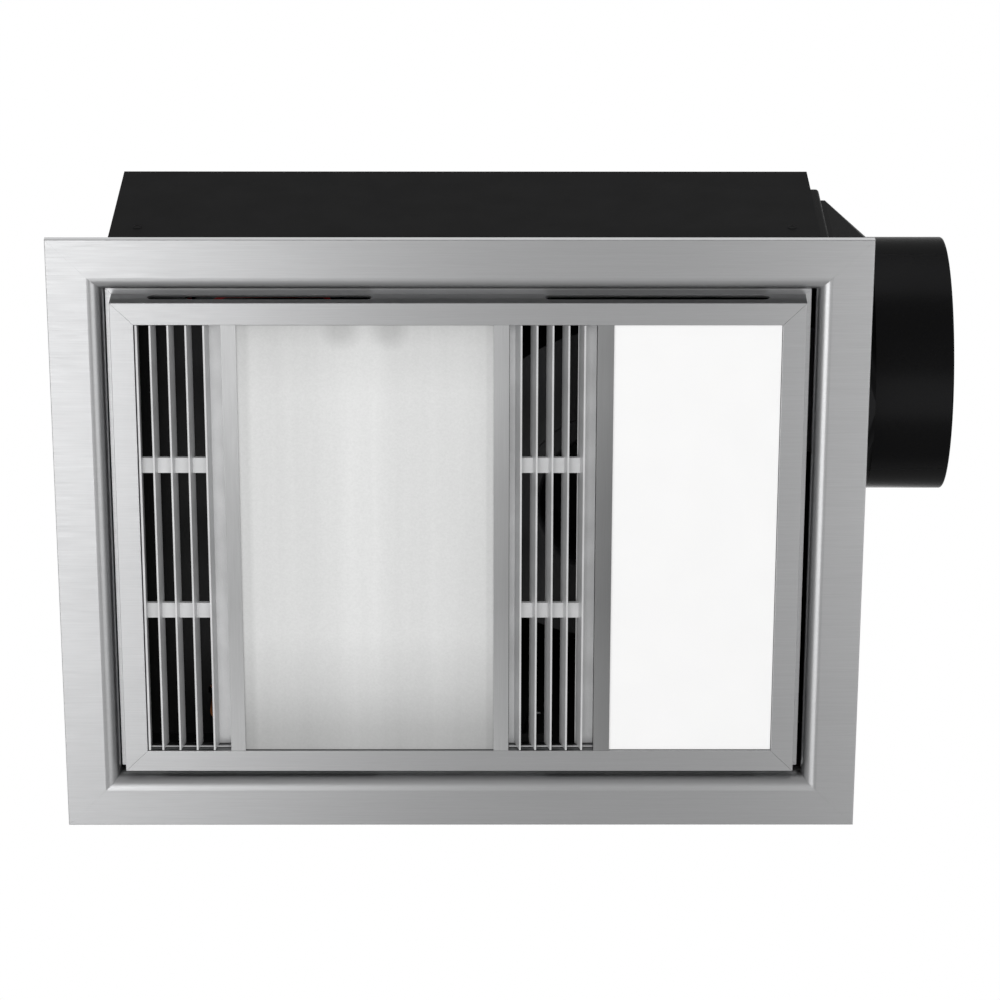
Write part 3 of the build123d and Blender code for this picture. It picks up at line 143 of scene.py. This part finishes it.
# Brushed aluminium: fine grain lines in the colour, the roughness and the bump, broader streaks, soft clouds.
# The far panel rail's inner wall gets a painted shade above its face, and the strips carry painted light and
# shade across and along.
railLook = {
    "tone": (0.605, 0.608, 0.615),
    "grainShare": 0.07,
    "streakShare": 0.035,
    "cloudShare": 0.03,
    "grainNoise": (5.0, 0.65),
    "streakNoise": (3.0, 0.55, (3, 7, 1)),
    "cloudNoise": (2.0, 0.5, (1, 4, 8)),
    "roughLow": 0.31,
    "roughHigh": 0.4,
    "stretch": 0.45,
    "across": (0, 1, 0.3),
    "grain": (45, 2200, 2200),
    "streak": (7, 700, 700),
    "cloud": (6, 14, 14),
    "bump": 0.02,
    "bumpDepth": 0.0001,
}
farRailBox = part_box("panel_rail_far")
# The far panel rail adds a painted shade on its inner wall above its face
panelLook = {
    **railLook,
    "paintedWallShade": 0.4,
    "shadedWallAcross": (farRailBox[1][1] - 0.0125, farRailBox[1][1] - 0.012),
    "shadedWallUp": (farRailBox[0][2] + 0.0004, farRailBox[0][2] + 0.0008),
}
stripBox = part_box("divider_strips")
# Painted light and shade on the divider strips: lighter or darker across the panel and along each strip, for
# what their brushed faces reflect
stripLook = {
    **railLook,
    "tone": (0.8, 0.805, 0.81),
    "grain": (2600, 40, 2600),
    "streak": (620, 7, 620),
    "paintedShadingAcross": [(0.0, 0.74), (0.7, 0.94), (1.0, 0.53)],
    "paintedShadingAlong": [(0.0, 1.0), (0.15, 1.0), (0.4, 0.8), (0.65, 0.76), (0.85, 0.9), (1.0, 0.95)],
}


def shades(tree, value, share):
    return rampOn(tree, value, [(closeSpan[0], (1 - share,) * 3), (closeSpan[1], white)])


def greys(stops):
    return [(place, (level,) * 3) for place, level in stops]


# Paints light and shade by place: ramps across and along a box multiply the tone
def paintShadingByPlace(tree, box, look, tone):
    axes = splitAxes(tree, placeOnObject(tree))
    for i, name in enumerate(("paintedShadingAcross", "paintedShadingAlong")):
        share = spread(tree, axes[i], 0.0, 1.0, (box[0][i], box[1][i]))
        tone = timesColours(tree, rampOn(tree, share, greys(look[name])), tone)
    return tone


# Painted shade: darkens the far rail's inner wall above its face, where it lies in shadow inside the panel
def paintInnerWallShade(tree, look, tone):
    axes = splitAxes(tree, placeOnObject(tree))
    wall = spread(tree, axes["Z"], 0.0, 1.0, look["shadedWallUp"])
    inside = spread(tree, axes["Y"], 1.0, 0.0, look["shadedWallAcross"])
    both = joinValues(tree, "MULTIPLY", wall, inside)
    return timesColours(tree, tone, (look["paintedWallShade"],) * 3, both)


def brushedMetal(name, look):
    material, tree, shader = newMaterial(name)
    noises = {}
    tone = look["tone"]
    for layer in ("grain", "streak", "cloud"):
        noises[layer] = noiseOn(tree, look[layer], *look[layer + "Noise"])
        tone = timesColours(tree, shades(tree, noises[layer], look[layer + "Share"]), tone)
    if "paintedShadingAlong" in look:
        tone = paintShadingByPlace(tree, stripBox, look, tone)
    if "paintedWallShade" in look:
        tone = paintInnerWallShade(tree, look, tone)
    tree.links.new(tone, shader.inputs["Base Color"])
    roughness = spread(tree, noises["grain"], look["roughHigh"], look["roughLow"])
    tree.links.new(roughness, shader.inputs["Roughness"])
    shader.inputs["Metallic"].default_value = 1.0
    shader.inputs["Anisotropic"].default_value = look["stretch"]
    across = tree.nodes.new("ShaderNodeCombineXYZ")
    for socket, value in zip(across.inputs, look["across"]):
        socket.default_value = value
    tree.links.new(across.outputs["Vector"], shader.inputs["Tangent"])
    bumpOn(tree, shader, noises["grain"], look["bump"], look["bumpDepth"])
    return material


# Plain metals: wire, strip, zinced sheet, turned steel
metalLooks = {
    "corner_aluminium": {"tone": (0.62, 0.62, 0.62), "rough": 0.4, "speck": 300, "bump": 0.1},
    "spring_steel": {"tone": (0.55, 0.55, 0.56), "rough": 0.28, "speck": 900, "bump": 0.05},
    "zinc_steel": {"tone": (0.42, 0.43, 0.44), "rough": 0.42, "speck": 160, "bump": 0.04},
    "bright_steel": {"tone": (0.6, 0.6, 0.61), "rough": 0.25, "speck": 1400, "bump": 0.05},
    "bright_reflector": {"tone": (0.82, 0.82, 0.82), "rough": 0.16, "speck": 60, "bump": 0.05},
    "filament_wire": {"tone": (0.3, 0.28, 0.26), "rough": 0.5, "speck": 2000, "bump": 0.1},
}
metalSpread = {"noise": (5.0, 0.6), "tone": (0.82, 1.14), "rough": (0.85, 1.2)}


def toneRange(tone, low, high):
    return [tuple(min(1.0, c * share) for c in tone) for share in (low, high)]


def plainMetal(name, look):
    material, tree, shader = newMaterial(name)
    speck = noiseOn(tree, (look["speck"],) * 3, *metalSpread["noise"])
    tones = toneRange(look["tone"], *metalSpread["tone"])
    tree.links.new(rampOn(tree, speck, list(zip(closeSpan, tones))), shader.inputs["Base Color"])
    roughs = [look["rough"] * share for share in metalSpread["rough"]]
    tree.links.new(spread(tree, speck, *roughs), shader.inputs["Roughness"])
    shader.inputs["Metallic"].default_value = 1.0
    bumpOn(tree, shader, speck, look["bump"])
    return material


# Mouldings, paints, rubber and ceramic: a tone with fine grain and faint mottling
solidLooks = {
    "grille_silver": {"tone": (0.68, 0.683, 0.688), "rough": 0.36, "grain": 1800, "bump": 0.06,
                      "metallic": 0.2},
    # The LED module is not lit: the diffuser's faint emission is painted light that lifts it to its white
    "opal_diffuser": {"tone": (0.86, 0.86, 0.858), "rough": 0.42, "grain": 1500, "bump": 0.03,
                      "paintedGlow": 0.16, "mottle": 0.01, "fleck": 0.01},
    "white_sheet": {"tone": (0.82, 0.82, 0.81), "rough": 0.45, "grain": 900, "bump": 0.06},
    "lit_board": {"tone": (0.86, 0.86, 0.82), "rough": 0.4, "grain": 700, "bump": 0.05},
    "saddle_nylon": {"tone": (0.8, 0.79, 0.75), "rough": 0.45, "grain": 900, "bump": 0.05},
    "black_sheet": {"tone": (0.03, 0.03, 0.0305), "rough": 0.42, "grain": 1300, "bump": 0.12,
                    "metallic": 0.45, "gloss": 0.005, "edge": (0.2, 0.2, 0.2)},
    "black_moulding": {"tone": (0.0125, 0.0125, 0.013), "rough": 0.3, "grain": 500, "bump": 0.008,
                       "metallic": 0.86, "edge": (0.32, 0.32, 0.32)},
    "flap_moulding": {"tone": (0.03, 0.03, 0.033), "rough": 0.42, "grain": 900, "bump": 0.06},
    "fan_moulding": {"tone": (0.02, 0.02, 0.022), "rough": 0.45, "grain": 900, "bump": 0.06},
    "mount_rubber": {"tone": (0.02, 0.02, 0.02), "rough": 0.75, "grain": 1200, "bump": 0.12},
    "lamp_ceramic": {"tone": (0.84, 0.83, 0.79), "rough": 0.6, "grain": 1500, "bump": 0.1},
    "red_insulation": {"tone": (0.55, 0.03, 0.025), "rough": 0.35, "grain": 900, "bump": 0.03},
    "brown_insulation": {"tone": (0.35, 0.12, 0.04), "rough": 0.35, "grain": 900, "bump": 0.03},
    "grey_insulation": {"tone": (0.06, 0.06, 0.065), "rough": 0.42, "grain": 900, "bump": 0.03},
    "gland_nylon": {"tone": (0.02, 0.02, 0.021), "rough": 0.4, "grain": 1100, "bump": 0.06},
    "terminal_plastic": {"tone": (0.72, 0.71, 0.67), "rough": 0.4, "grain": 900, "bump": 0.05},
    "driver_case": {"tone": (0.6, 0.6, 0.59), "rough": 0.4, "grain": 900, "bump": 0.06},
}
# What a moulding or paint has unless its own look says otherwise
usualSolid = {"mottle": 0.09, "fleck": 0.06, "gloss": 0.5, "edge": white, "metallic": 0.0, "paintedGlow": 0.0}
solidSpread = {
    "grainNoise": (4.0, 0.6),
    "mottleNoise": (3.0, 0.5, (5, 2, 9)),
    "grainsInMottle": 40,
    "rough": (0.9, 1.12),
}


def solidFinish(name, ownLook):
    look = {**usualSolid, **ownLook}
    material, tree, shader = newMaterial(name)
    grain = noiseOn(tree, (look["grain"],) * 3, *solidSpread["grainNoise"])
    mottleScale = (look["grain"] / solidSpread["grainsInMottle"],) * 3
    mottle = noiseOn(tree, mottleScale, *solidSpread["mottleNoise"])
    tones = toneRange(look["tone"], 1 - look["mottle"], 1 + look["mottle"])
    tone = rampOn(tree, mottle, list(zip(wideSpan, tones)))
    fleck = shades(tree, grain, look["fleck"])
    tree.links.new(timesColours(tree, tone, fleck), shader.inputs["Base Color"])
    shader.inputs["Specular IOR Level"].default_value = look["gloss"]
    shader.inputs["Specular Tint"].default_value = (*look["edge"], 1)
    roughs = [look["rough"] * share for share in solidSpread["rough"]]
    tree.links.new(spread(tree, grain, *roughs), shader.inputs["Roughness"])
    shader.inputs["Metallic"].default_value = look["metallic"]
    # Painted emission, where a look asks for it
    if look["paintedGlow"]:
        shader.inputs["Emission Color"].default_value = (*white, 1)
        shader.inputs["Emission Strength"].default_value = look["paintedGlow"]
    bumpOn(tree, shader, grain, look["bump"])
    return material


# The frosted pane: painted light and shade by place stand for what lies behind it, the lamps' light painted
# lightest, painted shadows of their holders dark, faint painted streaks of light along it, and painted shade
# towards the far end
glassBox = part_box("heater_glass")
paneLook = {
    "tone": (0.88, 0.885, 0.88),
    "rough": 0.5,
    "gloss": 0.3,
    "paintedShadingAcross": [(0.0, 0.8), (0.055, 0.8), (0.075, 0.91), (0.3, 0.925), (0.42, 1.0), (0.53, 1.0),
                     (0.62, 0.93), (0.75, 0.945), (0.9, 0.89), (0.945, 0.86), (0.955, 0.77), (1.0, 0.76)],
    "paintedShadingAlong": [(0.0, 0.78), (0.05, 0.9), (0.16, 1.0), (0.72, 0.975), (0.85, 0.81), (0.95, 0.61),
                    (1.0, 0.56)],
    "frost": (700, 700, 700),
    "frostShare": 0.07,
    "frostNoise": (3.0, 0.7),
    "bump": 0.2,
    "streak": (75, 2.5, 1.0),
    "streakShare": 0.045,
    "streakNoise": (4.0, 0.6),
    "holders": [(-0.0682, -0.131), (-0.0402, -0.131)],
    "holderShadowShare": 0.18,
    "holderShadowSpan": (0.0039, 0.013),
}


def paintedShadowSpot(tree, centre, span, share, tone):
    away = tree.nodes.new("ShaderNodeVectorMath")
    away.operation = "LENGTH"
    place = placeOnObject(tree, (1, 1, 0), (-centre[0], -centre[1], 0))
    tree.links.new(place, away.inputs[0])
    return timesColours(tree, tone, spread(tree, away.outputs["Value"], 1 - share, 1.0, span))


def frostedPaneWithPaintedLight(name, look):
    material, tree, shader = newMaterial(name)
    tone = paintShadingByPlace(tree, glassBox, look, look["tone"])
    # Painted shadows of the lamp holders seen through the glass
    for centre in look["holders"]:
        tone = paintedShadowSpot(tree, centre, look["holderShadowSpan"], look["holderShadowShare"], tone)
    frost = noiseOn(tree, look["frost"], *look["frostNoise"])
    # Painted light: faint streaks along the pane for the reflector's edges behind it
    streak = noiseOn(tree, look["streak"], *look["streakNoise"])
    tone = timesColours(tree, shades(tree, frost, look["frostShare"]), tone)
    tone = timesColours(tree, shades(tree, streak, look["streakShare"]), tone)
    tree.links.new(tone, shader.inputs["Base Color"])
    shader.inputs["Roughness"].default_value = look["rough"]
    shader.inputs["Specular IOR Level"].default_value = look["gloss"]
    bumpOn(tree, shader, frost, look["bump"])
    return material


# Clear quartz for the lamps' tubes
quartzLook = {
    "tone": (0.95, 0.95, 0.95),
    "shade": 0.96,
    "rough": 0.05,
    "clear": 0.9,
    "seed": (400, 400, 400),
    "seedNoise": (3.0, 0.5),
    "bump": 0.02,
}


def clearQuartz(name, look):
    material, tree, shader = newMaterial(name)
    seed = noiseOn(tree, look["seed"], *look["seedNoise"])
    tones = toneRange(look["tone"], look["shade"], 1.0)
    tree.links.new(rampOn(tree, seed, list(zip(wideSpan, tones))), shader.inputs["Base Color"])
    shader.inputs["Roughness"].default_value = look["rough"]
    shader.inputs["Transmission Weight"].default_value = look["clear"]
    bumpOn(tree, shader, seed, look["bump"])
    return material


finishes = {
    "brushed_frame": brushedMetal("brushedFrame", railLook),
    "frosted_glass": frostedPaneWithPaintedLight("frostedGlassPaintedLight", paneLook),
    "lamp_glass": clearQuartz("lampGlass", quartzLook),
}
finishes.update({slot: plainMetal(slot, look) for slot, look in metalLooks.items()})
finishes.update({slot: solidFinish(slot, look) for slot, look in solidLooks.items()})
ownFinishes = {
    "panel_rail_far": brushedMetal("brushedPanelPaintedShade", panelLook),
    "divider_strips": brushedMetal("brushedStripsPaintedShading", stripLook),
}
for part in frame["record"]["subparts"]:
    node = cadNodes[part["node"]]
    node.data.materials.clear()
    node.data.materials.append(ownFinishes.get(part["node"], finishes[part["material_slot"]]))
print("finishes set")


# Points closer than this are one point where a turned shape closes, in metres
mergeReach = 0.00002


def turned(name, rings, sides, closed):
    bpy.ops.object.select_all(action="DESELECT")
    height, radius = rings[0]
    bpy.ops.mesh.primitive_circle_add(vertices=sides, radius=radius, location=(0, 0, height))
    piece = bpy.context.object
    piece.name = name
    piece.data.name = name
    bpy.ops.object.mode_set(mode="EDIT")
    bpy.ops.mesh.select_all(action="SELECT")
    for nextHeight, nextRadius in rings[1:] + rings[:1] * closed:
        rise = (0, 0, nextHeight - height)
        share = nextRadius / radius
        bpy.ops.mesh.extrude_edges_move(TRANSFORM_OT_translate={"value": rise})
        bpy.ops.transform.resize(value=(share, share, 1), center_override=(0, 0, 0))
        height, radius = nextHeight, nextRadius
    bpy.ops.mesh.select_all(action="SELECT")
    bpy.ops.mesh.remove_doubles(threshold=mergeReach)
    bpy.ops.mesh.normals_make_consistent(inside=False)
    bpy.ops.object.mode_set(mode="OBJECT")
    return piece


def selectOnly(piece):
    bpy.ops.object.select_all(action="DESELECT")
    piece.select_set(True)
    bpy.context.view_layer.objects.active = piece


def settle(piece, place, turn, smoothAngle):
    selectOnly(piece)
    bpy.ops.object.transform_apply(location=True, rotation=True, scale=True)
    piece.rotation_euler = [math.radians(a) for a in turn]
    piece.location = place
    bpy.ops.object.transform_apply(location=True, rotation=True, scale=True)
    bpy.ops.object.shade_smooth_by_angle(angle=smoothAngle)


def belong(piece, node, slot):
    piece.data.materials.clear()
    piece.data.materials.append(finishes[slot])
    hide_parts(node)
    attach(piece, "housing")


# Blind rivets of the housing: low domed heads with the broken pin sunk in the middle. Each ring is a height
# and a radius in metres.
rivetShape = {
    "rings": [(-0.0018, 0.00001), (-0.0018, 0.0016), (-0.00001, 0.0016), (0, 0.0026), (0.0003, 0.0026),
              (0.0007, 0.0022), (0.00095, 0.0016), (0.00098, 0.00095), (0.00055, 0.0009), (0.00055, 0.0007),
              (0.00075, 0.0006), (0.0008, 0.00001)],
    "sides": 28,
    "smoothAngle": 0.6,
    "fromEnd": 0.0026,
    "wallHeight": 0.096,
    "topOffset": 0.1,
    "headHeight": 0.001,
}


def makeRivets(shape):
    low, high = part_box("housing_rivets")
    head = shape["headHeight"]
    places = []
    for x in (low[0] + shape["fromEnd"], high[0] - shape["fromEnd"]):
        for y, turn in ((low[1] + head, 90), (high[1] - head, -90)):
            places.append(((x, y, shape["wallHeight"]), (turn, 0, 0)))
        for y in (-shape["topOffset"], shape["topOffset"]):
            places.append(((x, y, high[2] - head), (0, 0, 0)))
    master = turned("rivetHead", shape["rings"], shape["sides"], False)
    for i, (place, turn) in enumerate(places):
        piece = master.copy()
        piece.data = master.data.copy()
        piece.name = f"rivetHead{i + 1}"
        piece.data.name = piece.name
        bpy.context.scene.collection.objects.link(piece)
        settle(piece, place, turn, shape["smoothAngle"])
        belong(piece, "housing_rivets", "black_sheet")
    bpy.data.objects.remove(master)


# Cable gland on the left end: a hexagon against the wall, and a cap with grooves between its ribs and a
# lipped bore. Each ring is a height and a radius in metres, and the grooves' angles are in degrees.
glandShape = {
    "inside": 0.0109,
    "cap": [(-0.0109, 0.0045), (-0.0109, 0.0096), (-0.0102, 0.0098), (0.003, 0.0098), (0.003, 0.0105),
            (0.0036, 0.011), (0.0124, 0.011), (0.0134, 0.0104), (0.0139, 0.0092), (0.0139, 0.0064),
            (0.0131, 0.0057), (0.0131, 0.0049), (0.0126, 0.0045)],
    "capSides": 48,
    "hexagon": [(0.0, 0.0099), (0.0, 0.0134), (0.0005, 0.014), (0.0025, 0.014), (0.003, 0.0133),
                (0.003, 0.0099)],
    "hexagonSides": 6,
    "grooveSpan": (0.0037, 0.0123),
    "grooveRadius": 0.01,
    "groovePitch": 15,
    "grooveWidth": 7.5,
    "grooveInset": 0.0001,
    "grooveDepth": -0.0005,
    "flatness": 0.1,
    "smoothAngle": 0.5,
}


def makeGland(shape):
    low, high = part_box("cable_gland")
    place = (high[0] - shape["inside"], (low[1] + high[1]) / 2, (low[2] + high[2]) / 2)
    cap = turned("glandCap", shape["cap"], shape["capSides"], True)
    bpy.ops.object.transform_apply(location=True, rotation=True, scale=True)
    bpy.ops.object.mode_set(mode="EDIT")
    bpy.ops.mesh.select_mode(type="FACE")
    bpy.ops.mesh.select_all(action="DESELECT")
    bpy.ops.object.mode_set(mode="OBJECT")
    bottom, top = shape["grooveSpan"]
    for polygon in cap.data.polygons:
        centre = polygon.center
        turn = math.degrees(math.atan2(centre.y, centre.x)) % shape["groovePitch"]
        onSide = bottom < centre.z < top and abs(polygon.normal.z) < shape["flatness"]
        outside = math.hypot(centre.x, centre.y) > shape["grooveRadius"]
        polygon.select = onSide and outside and turn < shape["grooveWidth"]
    bpy.ops.object.mode_set(mode="EDIT")
    bpy.ops.mesh.inset(thickness=shape["grooveInset"], depth=shape["grooveDepth"], use_individual=True)
    bpy.ops.object.mode_set(mode="OBJECT")
    hexagon = turned("glandHexagon", shape["hexagon"], shape["hexagonSides"], True)
    for piece in (cap, hexagon):
        settle(piece, place, (0, -90, 0), shape["smoothAngle"])
        belong(piece, "cable_gland", "gland_nylon")


makeRivets(rivetShape)
makeGland(glandShape)
print("rivets and gland made")

# Camera at the photograph's angle, below the ceiling on the near side
cameraPlace = {
    "at": (0.01335, -0.96345, -2.2302),
    "forward": (0.0040, 0.3881, 0.9216),
    "imageUp": (-0.0001, -0.9216, 0.3881),
    "lens": 149.96,
    "sensor": 36.0,
    "reach": 50,
}


def makeCamera(place):
    data = bpy.data.cameras.new("camera")
    data.lens = place["lens"]
    data.sensor_width = place["sensor"]
    data.clip_end = place["reach"]
    camera = bpy.data.objects.new("camera", data)
    bpy.context.scene.collection.objects.link(camera)
    forward = Vector(place["forward"]).normalized()
    right = forward.cross(Vector(place["imageUp"])).normalized()
    up = right.cross(forward)
    turn = Matrix((right, up, -forward)).transposed().to_4x4()
    camera.matrix_world = Matrix.Translation(place["at"]) @ turn
    bpy.context.scene.camera = camera


makeCamera(cameraPlace)

# Plain pale floor well below
floorLook = {
    "size": 80.0,
    "height": -3.3,
    "tone": (0.70, 0.70, 0.70),
    "shade": 0.98,
    "rough": 0.8,
    "grain": (3, 3, 3),
    "grainNoise": (2.0, 0.5),
}


def makeFloor(look):
    bpy.ops.mesh.primitive_plane_add(size=look["size"], location=(0, 0, look["height"]))
    floor = bpy.context.object
    floor.name = "floor"
    material, tree, shader = newMaterial("paleFloor")
    grain = noiseOn(tree, look["grain"], *look["grainNoise"])
    tones = toneRange(look["tone"], look["shade"], 1.0)
    tree.links.new(rampOn(tree, grain, list(zip(wideSpan, tones))), shader.inputs["Base Color"])
    shader.inputs["Roughness"].default_value = look["rough"]
    floor.data.materials.append(material)


# Two cards below that the brushed faces reflect, two fills below and two lamps above. Radiance sets a lamp's
# power from its size, and shine says whether reflections show it.
lampSet = [
    {"name": "leftCard", "at": (-0.97, 0.34, -1.8), "to": (-0.97, 0.34, 0), "size": 1.4,
     "radiance": 2.05, "shine": True},
    {"name": "rightCard", "at": (1.17, 0.34, -1.8), "to": (1.17, 0.34, 0), "size": 1.4,
     "radiance": 1.18, "shine": True},
    {"name": "nearFill", "at": (-0.4, -2.0, -0.7), "to": (0, 0, 0), "size": 1.2,
     "radiance": 0.6, "shine": False},
    {"name": "lowFill", "at": (0.2, -1.5, -2.4), "to": (0, 0, 0), "size": 1.2,
     "radiance": 5.4, "shine": False},
    {"name": "topNear", "at": (0.3, -1.1, 2.2), "to": (0.2, -0.1, 0.1), "size": 1.1,
     "radiance": 3.0, "shine": False},
    {"name": "topBack", "at": (-0.2, 1.6, 2.0), "to": (0, 0, 0.1), "size": 1.4,
     "radiance": 2.0, "shine": True},
]


def makeLamp(lamp):
    data = bpy.data.lights.new(lamp["name"], "AREA")
    data.size = lamp["size"]
    data.energy = lamp["radiance"] * math.pi * lamp["size"] ** 2
    light = bpy.data.objects.new(lamp["name"], data)
    bpy.context.scene.collection.objects.link(light)
    light.location = lamp["at"]
    way = Vector(lamp["to"]) - Vector(lamp["at"])
    light.rotation_euler = way.to_track_quat("-Z", "Y").to_euler()
    light.visible_camera = False
    light.visible_glossy = lamp["shine"]


# White where the camera, a reflection or clear glass sees it, and softer where it only lights
worldLevels = {"soft": 0.42, "seen": 1.0}


def makeWorld(levels):
    world = bpy.data.worlds.new("studio")
    bpy.context.scene.world = world
    world.use_nodes = True
    tree = world.node_tree
    tree.nodes.clear()
    output = tree.nodes.new("ShaderNodeOutputWorld")
    mix = tree.nodes.new("ShaderNodeMixShader")
    for socket, level in zip((mix.inputs[1], mix.inputs[2]), (levels["soft"], levels["seen"])):
        background = tree.nodes.new("ShaderNodeBackground")
        background.inputs["Color"].default_value = (*white, 1)
        background.inputs["Strength"].default_value = level
        tree.links.new(background.outputs[0], socket)
    rays = tree.nodes.new("ShaderNodeLightPath").outputs
    seen = joinValues(tree, "MAXIMUM", rays["Is Camera Ray"], rays["Is Glossy Ray"])
    seen = joinValues(tree, "MAXIMUM", seen, rays["Is Transmission Ray"])
    tree.links.new(seen, mix.inputs["Fac"])
    tree.links.new(mix.outputs[0], output.inputs["Surface"])


makeFloor(floorLook)
for lamp in lampSet:
    makeLamp(lamp)
makeWorld(worldLevels)
bpy.context.scene.view_settings.view_transform = "Standard"
print("stage and light set")
